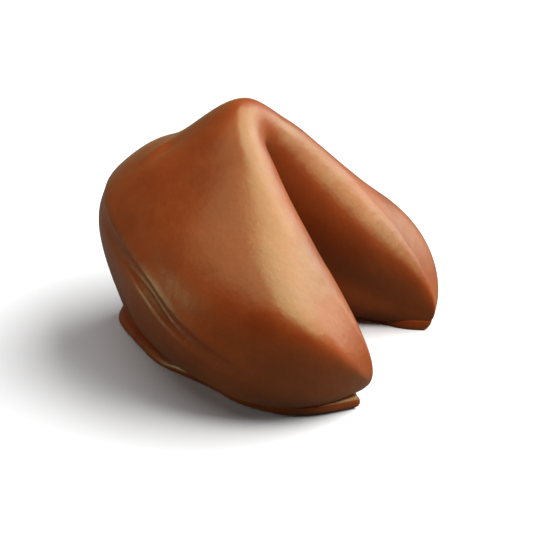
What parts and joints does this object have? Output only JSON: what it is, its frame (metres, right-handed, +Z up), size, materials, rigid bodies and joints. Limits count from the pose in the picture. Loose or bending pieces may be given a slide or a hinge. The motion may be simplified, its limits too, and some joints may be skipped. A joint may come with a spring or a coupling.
{
  "type": "fortune cookie",
  "caption": "Folded wafer fortune cookie in a smooth coat of milk chocolate, lying on its side on a thin foot of set chocolate.",
  "frame": {"origin": "under the middle of the cookie's box, on the surface it lies on", "axes": "+Z up as the cookie lies, +X towards the two tips, +Y from the near lobe to the far lobe"},
  "size_m": [0.0552, 0.059, 0.0435],
  "materials": {
    "chocolate": "satin milk chocolate coat with a soft sheen, slightly uneven in colour"
  },
  "bodies": {
    "root": {"cookie": "chocolate"}
  },
  "joints": []
}
